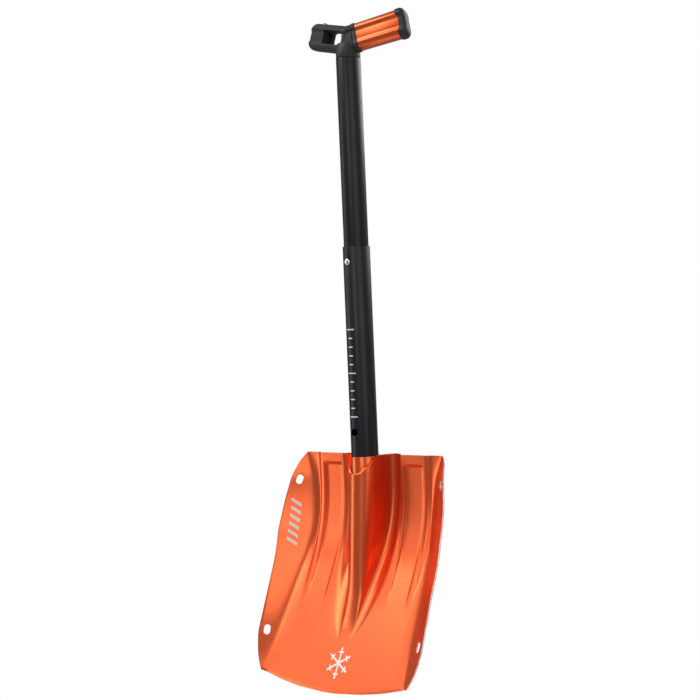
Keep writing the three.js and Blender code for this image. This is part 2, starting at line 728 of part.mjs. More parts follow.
addPiece('grip_body', 'black_plastic', gripBody());
addPiece('neck_screw', 'spring_steel', neckScrew());
addPiece('grip_collar', 'black_plastic', armRing(1, COLLAR_START, SLEEVE_START - GAP, 1.04, CORE_SCALE));
addPiece('grip_sleeve', 'orange', armRing(1, SLEEVE_START, SLEEVE_END, 0.98, CORE_SCALE + 0.02));

const CAP_SCALE = 1.06;
const capStations = [[SLEEVE_END + GAP, 1], ...roundEnd(ARM_LENGTH + 4, 7)];
addPiece('grip_end_cap', 'black_plastic', cut(
  armBar(1, capStations.map(([out, scale]) => [out, scale * CAP_SCALE])),
  armBar(1, [[SLEEVE_END - 2, CORE_SCALE], [CORE_END + GAP, CORE_SCALE]]),
));

// the grip button and its coil spring stand up the section of the left arm
function placeInGrip(piece, height) {
  const lift = new THREE.Matrix4().makeTranslation(GRIP_BUTTON_AT, 0, height);
  piece.applyMatrix4(armMatrix(-1).multiply(lift));
}

const coil = turned([[3, 0], [5, 0], [5, 2 * SPRING_HALF], [3, 2 * SPRING_HALF], [3, 0]]);
placeInGrip(addPiece('grip_button', 'bright_steel', snapButton(7)), BUTTON_SEAT - GAP);
placeInGrip(addPiece('grip_button_spring', 'spring_steel', coil), -SPRING_HALF);

export default shovel;
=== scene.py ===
# %% [markdown]
# # An avalanche shovel
#
# An avalanche shovel is a light digging tool that packs down small. Its scoop is pressed from one sheet
# of aluminium, its shaft is two oval tubes that slide in each other, and a T-grip closes the top.
# Everything metal is anodised: the scoop and one half of the grip orange, the tubes black.
#
# The packed model already holds every part at its true size. This lesson builds the fine surfaces round
# it, one part to a cell, and finishes each with a procedural material. Lengths are written in
# millimetres, as a workshop drawing would, and turned into Blender's metres by MM.

# %% Load the packed frame
import json
import math

import bmesh
import bpy
from mathutils import Matrix, Vector


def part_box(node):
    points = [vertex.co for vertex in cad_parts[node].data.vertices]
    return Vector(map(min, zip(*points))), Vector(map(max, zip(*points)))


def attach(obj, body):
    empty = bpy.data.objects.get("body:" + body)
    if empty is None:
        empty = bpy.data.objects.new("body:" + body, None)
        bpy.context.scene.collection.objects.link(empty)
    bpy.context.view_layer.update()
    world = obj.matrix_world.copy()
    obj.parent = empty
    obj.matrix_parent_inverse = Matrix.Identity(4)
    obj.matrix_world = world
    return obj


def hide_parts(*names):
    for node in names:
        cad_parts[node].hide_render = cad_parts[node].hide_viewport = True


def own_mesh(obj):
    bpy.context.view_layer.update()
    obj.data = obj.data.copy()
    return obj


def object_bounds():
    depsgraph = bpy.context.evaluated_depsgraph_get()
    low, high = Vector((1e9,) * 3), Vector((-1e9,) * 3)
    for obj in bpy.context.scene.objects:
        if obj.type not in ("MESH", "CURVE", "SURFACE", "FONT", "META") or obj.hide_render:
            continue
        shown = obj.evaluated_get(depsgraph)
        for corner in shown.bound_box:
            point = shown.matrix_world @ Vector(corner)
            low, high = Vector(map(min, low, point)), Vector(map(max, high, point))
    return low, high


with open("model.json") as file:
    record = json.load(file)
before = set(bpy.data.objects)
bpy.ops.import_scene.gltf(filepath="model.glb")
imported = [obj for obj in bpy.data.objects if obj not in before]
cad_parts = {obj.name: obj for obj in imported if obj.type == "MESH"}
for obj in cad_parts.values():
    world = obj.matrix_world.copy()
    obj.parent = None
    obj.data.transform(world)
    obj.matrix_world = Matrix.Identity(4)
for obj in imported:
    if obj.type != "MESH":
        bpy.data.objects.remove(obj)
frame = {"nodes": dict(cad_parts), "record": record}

cad_low, cad_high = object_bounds()
MM = 0.001
BODY_OF = {node: body for body, nodes in frame["record"]["behaviour"]["bodies"].items() for node in nodes}
JOINT = {joint["name"]: joint for joint in frame["record"]["behaviour"]["joints"]}
print("frame:", len(BODY_OF), "nodes, tallest side", round(cad_high.z - cad_low.z, 4), "m")

# %% [markdown]
# ## Heights
#
# The drawing of a scoop is easiest to read from the cutting edge upwards, but the frame's origin is up in
# the grip. So heights in this lesson are millimetres above the cutting edge, and one small function turns
# them into the frame's Z. The blade's straight top edge, 258 mm up, ties the two together.

# %% Heights above the cutting edge
BLADE_TOP = 258
top_edge_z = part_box("blade")[1].z


def up(height):
    """Frame Z, in metres, of a height in millimetres above the cutting edge."""
    return top_edge_z + (height - BLADE_TOP) * MM


print("cutting edge at z", round(up(0), 4), "and top edge at z", round(up(BLADE_TOP), 4))

# %% [markdown]
# ## Camera
#
# The shovel is seen from the right of its scooping side, a little above the middle, from just under two
# metres. A long lens keeps the tubes parallel. The camera leans by two and a half degrees, so the shaft
# stands slightly off the vertical.

# %% Set the camera
AIM = Vector((-16.3, 1.0, -354.0)) * MM
DISTANCE = 1921.3 * MM
LENS = 85.37
AZIMUTH, ELEVATION, LEAN = (math.radians(angle) for angle in (38.0, 2.056, -2.433))


def make_camera():
    towards = Vector((math.sin(AZIMUTH), -math.cos(AZIMUTH), math.tan(ELEVATION))).normalized()
    level = Vector((math.cos(AZIMUTH), math.sin(AZIMUTH), 0))
    upright = towards.cross(level)
    across = level * math.cos(LEAN) + upright * math.sin(LEAN)
    above = upright * math.cos(LEAN) - level * math.sin(LEAN)
    camera = bpy.data.objects.new("camera", bpy.data.cameras.new("camera"))
    camera.data.lens = LENS
    turn = Matrix((across, above, towards)).transposed().to_4x4()
    camera.matrix_world = Matrix.Translation(AIM + towards * DISTANCE) @ turn
    bpy.context.scene.collection.objects.link(camera)
    bpy.context.scene.camera = camera
    return camera


print("camera at", [round(c, 3) for c in make_camera().matrix_world.translation])

# %% [markdown]
# ## Writing shader maths as Python
#
# A node tree for a worn, grained metal soon holds dozens of Math nodes. Wrapping a socket in a small
# class lets the same thing be written as an expression such as `1 - mask * wear`. Anything that isn't
# plain arithmetic is made by one method, which takes the node's type, its settings and what goes into its
# sockets.

# %% A socket that does arithmetic
class Wire:
    """An output socket, which Python's own operators turn into Math nodes."""

    def __init__(self, nodes, socket):
        self.nodes = nodes
        self.socket = socket

    def maths(self, operation, *others):
        return self.nodes.node("ShaderNodeMath", {"operation": operation}, dict(enumerate((self, *others))))

    def __add__(self, other):
        return self.maths("ADD", other)

    def __sub__(self, other):
        return self.maths("SUBTRACT", other)

    def __rsub__(self, other):
        return self.nodes.node("ShaderNodeMath", {"operation": "SUBTRACT"}, {0: other, 1: self})

    def __mul__(self, other):
        return self.maths("MULTIPLY", other)

    def __truediv__(self, other):
        return self.maths("DIVIDE", other)

    def __lt__(self, other):
        return self.maths("LESS_THAN", other)

    def __gt__(self, other):
        return self.maths("GREATER_THAN", other)

    def __abs__(self):
        return self.maths("ABSOLUTE")

    __radd__ = __add__
    __rmul__ = __mul__


print("a wire knows", sum(callable(getattr(Wire, name)) for name in vars(Wire)), "ways to be used")

# %% [markdown]
# A node tree, whether a material's or the room's, is filled through one class. Finish adds what every
# material here starts from: its surface shader, the object's own coordinates and a few ready-made
# patterns.

# %% Trees and finishes
class Nodes:
    """A node tree that is filled one call at a time."""

    def __init__(self, tree):
        self.tree = tree

    def live(self, sockets, key):
        """Some nodes hold sockets for every kind of data, and only the ones in use are switched on."""
        switched_on = [socket for socket in sockets if socket.enabled]
        if isinstance(key, int):
            return switched_on[key]
        return next(socket for socket in switched_on if socket.name == key)

    def plug(self, socket, value):
        if isinstance(value, Wire):
            self.tree.links.new(value.socket, socket)
        else:
            socket.default_value = value

    def node(self, kind, settings, inputs, output=0):
        made = self.tree.nodes.new(kind)
        for setting, value in settings.items():
            setattr(made, setting, value)
        for socket, value in inputs.items():
            self.plug(self.live(made.inputs, socket), value)
        return Wire(self, self.live(made.outputs, output))

    def blend(self, factor, first, second):
        return self.node("ShaderNodeMix", {"data_type": "RGBA"}, {"Factor": factor, "A": first, "B": second})


class Finish(Nodes):
    """A material with its surface shader and the object's own coordinates at hand."""

    def __init__(self, name):
        self.material = bpy.data.materials.new(name)
        self.material.use_nodes = True
        super().__init__(self.material.node_tree)
        self.surface = self.tree.nodes["Principled BSDF"]
        self.place = self.node("ShaderNodeTexCoord", {}, {}, "Object")

    def axes(self):
        return [self.node("ShaderNodeSeparateXYZ", {}, {"Vector": self.place}, axis) for axis in "XYZ"]

    def stretched(self, scale):
        return self.node("ShaderNodeMapping", {}, {"Vector": self.place, "Scale": scale})

    def noise(self, scale, stretch=(1, 1, 1), detail=3.0):
        where = self.stretched(stretch)
        return self.node("ShaderNodeTexNoise", {}, {"Vector": where, "Scale": scale, "Detail": detail}, "Fac")

    def between(self, value, low, high, new_low=0.0, new_high=1.0):
        stops = {"Value": value, "From Min": low, "From Max": high, "To Min": new_low, "To Max": new_high}
        return self.node("ShaderNodeMapRange", {}, stops)

    def bump(self, height, distance, strength=1.0):
        inputs = {"Height": height, "Distance": distance, "Strength": strength}
        self.set(Normal=self.node("ShaderNodeBump", {}, inputs, "Normal"))

    def set(self, **inputs):
        for socket, value in inputs.items():
            self.plug(self.surface.inputs[socket.replace("_", " ")], value)


print("shader helpers ready")

# %% [markdown]
# ## Light and floor
#
# Anodised metal mostly mirrors what surrounds it, so the light matters as much as the material. A large
# soft panel overhead and in front paints the lower scoop bright, a tall panel on the left draws the long
# highlights on the tubes, a weak one beside the camera fills the left wing, and a dim room keeps the
# hollows deep red. The floor is a pale sheet that fades into the white room round it. It lies as far
# below the blade as the blade drops when it is taken off.

# %% Light the studio
WHITE = (1, 1, 1, 1)
DIM_ROOM = (0.27, 0.27, 0.275, 1)


def make_panel(name, stand_at, aim, size, power):
    light = bpy.data.lights.new(name, "AREA")
    light.shape = "RECTANGLE"
    light.size, light.size_y = size
    light.energy = power
    panel = bpy.data.objects.new(name, light)
    panel.location = stand_at
    panel.rotation_euler = (Vector(aim) - Vector(stand_at)).to_track_quat("-Z", "Y").to_euler()
    bpy.context.scene.collection.objects.link(panel)


make_panel("overhead_front", (-0.9, -1.5, 1.7), (0, 0, -0.6), (2.4, 1.5), 46)
make_panel("tall_left", (-2.2, -1.9, -0.2), (0, 0, -0.45), (0.5, 2.0), 15)
make_panel("beside_camera", (1.9, -1.9, 0.5), (0, 0, -0.45), (1.5, 1.5), 13)
make_panel("right_edge", (2.3, 0.2, 0.2), (0, 0, -0.35), (0.5, 2.0), 7)
make_panel("behind", (0.2, 2.4, 0.9), (0, 0, -0.35), (2.0, 1.6), 26)


def make_room():
    world = bpy.data.worlds.new("room")
    bpy.context.scene.world = world
    world.use_nodes = True
    room = Nodes(world.node_tree)
    seen = room.node("ShaderNodeLightPath", {}, {}, "Is Camera Ray")
    background = world.node_tree.nodes["Background"].inputs
    room.plug(background["Color"], room.blend(seen, DIM_ROOM, WHITE))
    room.plug(background["Strength"], 1)


make_room()
bpy.context.scene.view_settings.view_transform = "Standard"

# %% Lay the floor
FLOOR_RADIUS, FADE_START, FADE_END = 0.9, 0.15, 0.75


def floor_paint():
    """Pale and slightly lit from below, so that it fades into the room with no edge."""
    paint = Finish("pale floor")
    flat = paint.node("ShaderNodeVectorMath", {"operation": "MULTIPLY"}, {0: paint.place, 1: (1, 1, 0)})
    reach = paint.node("ShaderNodeVectorMath", {"operation": "LENGTH"}, {0: flat}, "Value")
    stops = {"Value": reach, "From Min": FADE_START, "From Max": FADE_END, "To Min": 1, "To Max": 0}
    fade = paint.node("ShaderNodeMapRange", {"interpolation_type": "SMOOTHSTEP"}, stops)
    paint.set(Base_Color=(0.9, 0.9, 0.9, 1), Roughness=0.9, Alpha=fade)
    paint.set(Emission_Color=WHITE, Emission_Strength=0.3)
    return paint.material


def make_floor():
    bm = bmesh.new()
    bmesh.ops.create_circle(bm, cap_ends=True, segments=96, radius=FLOOR_RADIUS)
    drop = JOINT["blade_release"]["range_m"][1] + 2 * MM
    bmesh.ops.translate(bm, verts=bm.verts, vec=(0, 0, cad_low.z - drop))
    mesh = bpy.data.meshes.new("floor")
    bm.to_mesh(mesh)
    bm.free()
    mesh.materials.append(floor_paint())
    floor = bpy.data.objects.new("floor", mesh)
    bpy.context.scene.collection.objects.link(floor)


make_floor()

# %% [markdown]
# ## Finishes
#
# Anodising dyes a thin glassy layer on bare aluminium, so light comes back coloured from the metal under
# it: a metallic surface with a tint, not a paint. The sheet keeps the faint lengthwise grain of the
# rolling mill and the satin etch of the dye bath. Cut edges are dyed too, but wear back to pale metal
# first.

# %% Orange anodised aluminium
ORANGE = (0.88, 0.155, 0.050, 1)
DEEP_ORANGE = (0.80, 0.112, 0.034, 1)
PALE_METAL = (0.80, 0.76, 0.74, 1)


def orange_anodised(name, marks=None):
    finish = Finish(name)
    cloud = finish.noise(14, detail=2)
    grain = finish.noise(900, stretch=(1, 1, 0.02))
    etch = finish.noise(2600, detail=2)
    tone = finish.between(cloud, 0.3, 0.7) * 0.35 + grain * 0.12
    colour = finish.blend(tone, ORANGE, DEEP_ORANGE)
    roughness = 0.25 + 0.05 * grain + 0.05 * cloud
    if marks is not None:
        ink = marks(finish)
        colour = finish.blend(ink, colour, (0.86, 0.84, 0.82, 1))
        roughness = roughness + 0.22 * ink
        finish.set(Metallic=0.88 - 0.8 * ink)
    else:
        finish.set(Metallic=0.88)
    finish.set(Base_Color=colour, Roughness=roughness)
    finish.bump(etch * 0.6 + grain * 0.4, 0.02 * MM, 0.35)
    return finish.material


def bare_edge():
    finish = Finish("bare sheared edge")
    shear = finish.noise(1800, stretch=(1, 1, 0.3))
    stain = finish.between(finish.noise(160), 0.42, 0.62)
    finish.set(
        Base_Color=finish.blend(stain, PALE_METAL, (0.92, 0.45, 0.28, 1)),
        Metallic=1.0,
        Roughness=0.34 + 0.18 * shear,
    )
    finish.bump(shear, 0.03 * MM, 0.5)
    return finish.material


print("orange finish ready")

# %% [markdown]
# The shaft tubes are the same metal dyed black. The dye is never a true black: it stays a metal, so it
# mirrors the room in soft greys, with fine draw lines running down the tube from the die it was pulled
# through.

# %% Black finishes
def black_anodised(name, marks=None):
    finish = Finish(name)
    draw = finish.noise(1500, stretch=(1, 1, 0.01))
    cloud = finish.noise(22, detail=2)
    colour = finish.blend(cloud, (0.028, 0.029, 0.031, 1), (0.045, 0.046, 0.048, 1))
    roughness = 0.30 + 0.10 * draw + 0.06 * cloud
    if marks is not None:
        ink = marks(finish)
        colour = finish.blend(ink, colour, (0.72, 0.72, 0.70, 1))
        roughness = roughness + 0.25 * ink
        finish.set(Metallic=0.92 - 0.85 * ink)
    else:
        finish.set(Metallic=0.92)
    finish.set(Base_Color=colour, Roughness=roughness)
    finish.bump(draw, 0.015 * MM, 0.4)
    return finish.material


def moulded_black(name):
    finish = Finish(name)
    spark = finish.noise(1100, detail=4)
    cloud = finish.noise(40, detail=2)
    finish.set(
        Base_Color=finish.blend(cloud, (0.010, 0.0105, 0.011, 1), (0.018, 0.0185, 0.019, 1)),
        Roughness=0.46 + 0.16 * spark,
    )
    finish.bump(spark, 0.06 * MM, 0.55)
    return finish.material


def steel(name, colour, roughness):
    finish = Finish(name)
    turning = finish.noise(1400, stretch=(0.1, 0.1, 1))
    haze = finish.noise(120)
    finish.set(
        Base_Color=finish.blend(haze, colour, tuple(0.8 * c for c in colour[:3]) + (1,)),
        Metallic=1.0,
        Roughness=roughness + 0.1 * turning + 0.08 * haze,
    )
    finish.bump(turning, 0.01 * MM, 0.4)
    return finish.material


PLASTIC = moulded_black("moulded black nylon")
POLISHED = steel("polished button steel", (0.80, 0.80, 0.78, 1), 0.12)
SPRING = steel("spring steel", (0.42, 0.43, 0.45, 1), 0.26)
BARE = bare_edge()
print("black, plastic and steel finishes ready")

# %% [markdown]
# ## Workshop helpers
#
# Every new part goes through the same four steps: a bmesh becomes an object, modifiers refine it and are
# applied, tools cut holes in it, and it is handed over to the body that it moves with. Each step is one
# small function.

# %% Workshop helpers
def make_piece(name, bm, *materials):
    mesh = bpy.data.meshes.new(name)
    bm.to_mesh(mesh)
    bm.free()
    for material in materials:
        mesh.materials.append(material)
    piece = bpy.data.objects.new(name, mesh)
    bpy.context.scene.collection.objects.link(piece)
    return piece


def modify(piece, kind, **settings):
    modifier = piece.modifiers.new(kind.lower(), kind)
    for setting, value in settings.items():
        setattr(modifier, setting, value)
    return modifier


def settle(piece):
    """Applies the modifiers that a piece has so far."""
    mesh = bpy.data.meshes.new_from_object(piece.evaluated_get(bpy.context.evaluated_depsgraph_get()))
    piece.modifiers.clear()
    piece.data = mesh


def combine(piece, operation, *tools):
    """Cuts tools out of a piece or joins them on, and throws the tools away."""
    for tool in tools:
        modify(piece, "BOOLEAN", operation=operation, solver="EXACT", object=tool)
    settle(piece)
    for tool in tools:
        bpy.data.objects.remove(tool)


def break_edges(piece, width, angle=40, segments=2):
    """Rounds the sharp edges of a piece and shades the rest of it smooth."""
    limit = {"limit_method": "ANGLE", "angle_limit": math.radians(angle)}
    modify(piece, "BEVEL", width=width * MM, segments=segments, **limit)
    settle(piece)
    piece.data.shade_smooth()
    piece.data.set_sharp_from_angle(angle=math.radians(50))


print("piece helpers ready")

# %% [markdown]
# A finished piece is handed over to the frame: it hides the packed node and rides on that node's body.
# The other helpers here are the small sums that the drawings below share.

# %% Handing over and small sums
def hand_over(piece, node):
    """The piece stands for a CAD node and moves with that node's body."""
    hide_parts(node)
    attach(piece, BODY_OF[node])
    print(piece.name, "replaces", node, "on", BODY_OF[node], "with", len(piece.data.polygons), "faces")


def along(stops, x):
    """Value at x on a line of (x, value) stops, straight between them."""
    if x <= stops[0][0]:
        return stops[0][1]
    for (x0, v0), (x1, v1) in zip(stops, stops[1:]):
        if x <= x1:
            return v0 + (v1 - v0) * (x - x0) / (x1 - x0)
    return stops[-1][1]


def ease(x, low, high):
    share = min(1.0, max(0.0, (x - low) / (high - low)))
    return share * share * (3 - 2 * share)


def lerp(first, second, share):
    return first + (second - first) * share


def moved_by(bm, geom, vec):
    """Moves the points of a bmesh operator's result."""
    bmesh.ops.translate(bm, vec=vec, verts=[part for part in geom if isinstance(part, bmesh.types.BMVert)])


def face_forwards(bm):
    """Turns an open sheet's faces to the snow side."""
    bmesh.ops.recalc_face_normals(bm, faces=bm.faces)
    if sum(face.normal.y * face.calc_area() for face in bm.faces) > 0:
        bmesh.ops.reverse_faces(bm, faces=bm.faces)


def place(bm):
    """Turns a shape drawn in millimetres over the cutting edge into the frame's metres."""
    bmesh.ops.scale(bm, vec=(MM, MM, MM), verts=bm.verts)
    bmesh.ops.translate(bm, vec=(0, 0, up(0)), verts=bm.verts)


print("halfway from 2 to 4 is", lerp(2, 4, ease(0.5, 0, 1)))

# %% [markdown]
# ## The scoop
#
# The scoop starts as a flat sheet and is pressed once. Its floor stands upright behind the shaft, then
# bends forward by about thirty degrees. Two shallow troughs run beside a tall hollow rib, which swallows
# the end of the shaft, and outside the troughs lie two sunk panels and the wings.
#
# So the model starts as a flat grid too. Each row of the grid is one height, and each of its points is
# moved to the place that the press would push it. The distances below are the press tool's drawing, as
# (height, value) stops.

# %% Drawing of the press tool
SHEET = 1.8
RIM_X = [
    (13.9, 104.4), (27, 112), (52.5, 117), (116.5, 116.2), (169.5, 116.8),
    (201.5, 115), (231.5, 109), (250, 103), (258, 98),
]
RIM_OUT = [
    (13.9, 2.5), (27, 7), (52.5, 14), (116.5, 25), (169.5, 32),
    (201.5, 27), (231.5, 19), (250, 7), (258, 0.6),
]
CREASE_X = [(10.7, 97.6), (52.5, 93), (116.5, 90), (169.5, 84), (201.5, 84), (231.5, 88), (258, 96)]
LOBE_Y = [(54, -50.6), (75.5, -43), (105.5, -34), (134.5, -31.6), (258, -22.1)]
LOBE_HALF = [(54, 8), (75.5, 10), (105.5, 12.5), (180, 17.1), (258, 17.3)]
TROUGH_EDGE = [(54, 9.8), (62.5, 14.7), (75.5, 21.6), (105.5, 30), (134.5, 34), (258, 38.8)]
TROUGH_DEPTH = [(54, 0), (105.5, 2.5), (170, 6.5), (220, 8), (258, 8)]
EDGE_HALF, EDGE_RISE = 104.4, 13.9
BEND_START, BEND_RADIUS, BEND_ANGLE = 220.5, 180, math.radians(30.5)


print("the bend turns", round(math.degrees(BEND_ANGLE), 1), "degrees over a radius of", BEND_RADIUS, "mm")

# %% [markdown]
# Two functions read the drawing. One gives the depth of the plain floor at a height. The other lists the
# points of half a row from the middle out: lip of the rib, trough, sunk panel, crease and wing.

# %% Read one row of the drawing
def floor_y(height):
    """How far back the scoop's floor lies: upright, then an arc, then a straight slope."""
    drop = BEND_START - height
    turned = BEND_RADIUS * math.sin(BEND_ANGLE)
    if drop <= 0:
        return 16
    if drop <= turned:
        return 16 - BEND_RADIUS + math.sqrt(BEND_RADIUS**2 - drop**2)
    return 16 - BEND_RADIUS * (1 - math.cos(BEND_ANGLE)) - math.tan(BEND_ANGLE) * (drop - turned)


def scoop_profile(height):
    """Front face of the scoop at one height, as (x, y) from the middle outwards."""
    floor = floor_y(height)
    lobe = ease(height, 54, 60)
    crown = min(along(LOBE_Y, height), floor)
    half = along(LOBE_HALF, height)
    trough = along(TROUGH_EDGE, height)
    deep = floor + along(TROUGH_DEPTH, height)
    raised = 3.4 * ease(height, 88, 150)
    sunk = raised * (1 - ease(height, 244.5, 247))
    crease = along(CREASE_X, height)
    rim, out = along(RIM_X, height), along(RIM_OUT, height)
    gully, run = trough - half, rim - crease

    def lip(share):
        return lerp(deep, lerp(crown, deep, share), lobe)

    return [
        (0, lip(0)),
        (half * 0.42, lip(0.035)),
        (half * 0.76, lip(0.15)),
        (half * 0.985, lip(0.42)),
        (half, lip(0.75)),
        (half + gully * 0.16, lip(0.96)),
        (half + gully * 0.35, deep),
        (half + gully * 0.65, deep),
        (half + gully * 0.88, lerp(deep, floor - raised, 0.55)),
        (max(trough, half + gully) + 1.2, floor - raised),
        (43.6, floor - raised),
        (44.6, floor - raised),
        (46.2, floor - raised + sunk),
        (47.2, floor - raised + sunk),
        (69.0, floor - raised + sunk),
        (70.0, floor - raised + sunk),
        (71.6, floor - raised),
        (72.6, floor - raised),
        (77.2, floor - raised),
        (78.6, floor - 0.5 * raised),
        (80, floor),
        (crease - 1, floor - out * 0.03),
        (crease + run * 0.18, floor - out * 0.14),
        (crease + run * 0.6, floor - out * 0.58),
        (rim, floor - out),
    ]


ROWS = [
    258, 252, 248, 247, 244.5, 243.5, 240, 231.5, 220.5, 208, 195, 182,
    169.5, 156, 143, 130, 117, 105, 94, 84, 75, 67, 60, 54,
]
FOOT_STEPS = [0.35, 0.7, 1]
STRAP_HOLES = [(226, 11), (57, 10)]
LIP = [(-34, 236), (-21.8, 237.5), (-17, 244), (-8, 251.5), (2, 259), (2, 275), (-34, 275)]
print("half width at the widest row:", max(x for h in ROWS for x, _ in scoop_profile(h)), "mm")

# %% [markdown]
# The bottom rows fan out from level to the curve of the cutting edge. Subdivision then turns the coarse
# cage into smooth pressings, a Solidify modifier gives the sheet its 1.8 mm, and the sheared rim gets a
# bare metal finish of its own.

# %% Press the scoop
def press_scoop():
    reach = len(scoop_profile(ROWS[0])) - 1
    columns, rows = 2 * reach + 1, len(ROWS) + len(FOOT_STEPS)
    bm = bmesh.new()
    bmesh.ops.create_grid(bm, x_segments=columns - 1, y_segments=rows - 1, size=1)
    for vert in bm.verts:
        column = round((vert.co.x + 1) / 2 * (columns - 1)) - reach
        row = round((1 - vert.co.y) / 2 * (rows - 1))
        side = math.copysign(1, column)
        if row < len(ROWS):
            height = ROWS[row]
            x, y = scoop_profile(height)[abs(column)]
        else:
            step = FOOT_STEPS[row - len(ROWS)]
            level = lerp(ROWS[-1], EDGE_RISE, step)
            x, y = scoop_profile(level)[abs(column)]
            height = lerp(ROWS[-1], EDGE_RISE * (x / EDGE_HALF) ** 2, step)
            y += floor_y(height) - floor_y(level)
        vert.co = (side * x, y, height)
    place(bm)
    face_forwards(bm)
    return bm


print("press has", len(ROWS) + len(FOOT_STEPS), "rows of", 2 * len(scoop_profile(ROWS[0])) - 1, "points")

# %% [markdown]
# The lashing holes and the cut-back lip of the rib are Boolean cuts. Each tool is a flat outline pulled
# into a solid, because a cut keeps its clean edge however the sheet under it curves.

# %% Cut the scoop
def strap_tool(side, height, in_from_rim):
    """A long round-ended punch, square to the wing that it goes through."""
    def rim(h):
        return Vector((along(RIM_X, h), floor_y(h) - along(RIM_OUT, h), h))

    outwards = (rim(height) - Vector((along(CREASE_X, height), floor_y(height), height))).normalized()
    centre = rim(height) - outwards * in_from_rim
    upwards = (rim(height + 10) - rim(height - 10)).normalized()
    through = outwards.cross(upwards).normalized()
    bm = bmesh.new()
    bmesh.ops.create_circle(bm, cap_ends=True, segments=40, radius=3.9)
    for vert in bm.verts:
        vert.co.y += math.copysign(1.9, vert.co.y)
    bmesh.ops.translate(bm, vec=(0, 0, -8), verts=bm.verts)
    moved_by(bm, bmesh.ops.extrude_face_region(bm, geom=bm.faces[:])["geom"], (0, 0, 16))
    across = upwards.cross(through).normalized()
    turn = Matrix((across, upwards, through)).transposed().to_4x4()
    bmesh.ops.transform(bm, matrix=Matrix.Translation(centre) @ turn, verts=bm.verts)
    bmesh.ops.scale(bm, vec=(side, 1, 1), verts=bm.verts)
    bmesh.ops.recalc_face_normals(bm, faces=bm.faces)
    for face in bm.faces:
        face.material_index = 1
    place(bm)
    return make_piece("strap_tool", bm, BARE, BARE)


def outline_tool(name, outline, half_width, round_by, material):
    """A tool with a (y, height) outline that runs across the shovel, its middle corners rounded."""
    bm = bmesh.new()
    corners = [bm.verts.new((-half_width, y, height)) for y, height in outline]
    bm.faces.new(corners)
    bmesh.ops.bevel(
        bm, geom=corners[1:5], offset=round_by, segments=6, profile=0.5, affect="VERTICES", material=-1,
    )
    moved_by(bm, bmesh.ops.extrude_face_region(bm, geom=bm.faces[:])["geom"], (2 * half_width, 0, 0))
    bmesh.ops.recalc_face_normals(bm, faces=bm.faces)
    place(bm)
    return make_piece(name, bm, material)


def build_scoop(finish):
    scoop = make_piece("scoop_pressing", press_scoop(), finish, BARE)
    modify(scoop, "SUBSURF", levels=2, render_levels=2, boundary_smooth="PRESERVE_CORNERS")
    modify(scoop, "SOLIDIFY", thickness=SHEET * MM, offset=-1, material_offset_rim=1, use_even_offset=True)
    settle(scoop)
    punches = [strap_tool(side, *hole) for side in (-1, 1) for hole in STRAP_HOLES]
    combine(scoop, "DIFFERENCE", outline_tool("lip_tool", LIP, 22, 3, finish), *punches)
    break_edges(scoop, 0.3, angle=55)
    hand_over(scoop, "blade")


print("scoop gets", 2 * len(STRAP_HOLES), "lashing holes and a lip of", len(LIP), "corners")


# %% [markdown]
# Shovels like this one carry printing on the scoop. A plain row of slanted bars on the left wing and a
# six-pointed frost star low on the floor stand in for it.
#
# Both are masks made from the object's own coordinates, so they need no image. A bar is a narrow range of
# a slanted coordinate, and a star is three bars turned by sixty degrees about one point.

# %% Marks on the scoop
def inside(value, low, high):
    return (value > low) * (value < high)


def wing_bars(finish):
    x, y, z = finish.axes()
    slant = (z + 0.9 * x) / (9 * MM)
    bar = slant.maths("FRACT") < 0.42
    return bar * inside(x, -0.1085, -0.0995) * inside(slant, -75, -69)


def frost_star(finish):
    x, y, z = finish.axes()
    side, rise = x - 1.5 * MM, z - up(30)
    reach = (side * side + rise * rise).maths("SQRT")
    arms = arms_wide = None
    for degrees in (30, 90, 150):
        turn = math.radians(degrees)
        off = abs(side * math.sin(turn) - rise * math.cos(turn))
        arm = off < 1.0 * MM
        wide = off < 3.4 * MM
        arms = arm if arms is None else arms.maths("MAXIMUM", arm)
        arms_wide = wide if arms_wide is None else arms_wide.maths("MAXIMUM", wide)
    spurs = inside(reach, 10.6 * MM, 12.2 * MM) * arms_wide
    return arms.maths("MAXIMUM", spurs) * (reach < 16 * MM)


def scoop_marks(finish):
    normal = finish.node("ShaderNodeNewGeometry", {}, {}, "Normal")
    front = finish.node("ShaderNodeSeparateXYZ", {}, {"Vector": normal}, "Y") < 0
    return wing_bars(finish).maths("MAXIMUM", frost_star(finish)) * front


SCOOP_FINISH = orange_anodised("orange anodised sheet", scoop_marks)
ORANGE_PLAIN = orange_anodised("orange anodised fittings")
build_scoop(SCOOP_FINISH)

# %% [markdown]
# ## The tubes
#
# Both tubes have one section: two tight arcs front and back, two flat arcs at the sides, and a soft
# corner line where they meet. That line is what catches the light down the whole shaft.
#
# A quarter of the outline is two spins, each of a single point about its arc's centre. Mirroring makes it
# whole, an inset gives the wall, and one extrusion draws the tube.

# %% Tube section
def arc_radius(half_chord, depth):
    return (half_chord**2 + depth**2) / (2 * depth)


def spin_arc(bm, start, centre, angle, steps):
    vert = bm.verts.new((*start, 0))
    turn = {"cent": (*centre, 0), "axis": (0, 0, 1), "angle": angle, "steps": steps}
    bmesh.ops.spin(bm, geom=[vert], use_merge=False, use_duplicate=False, **turn)


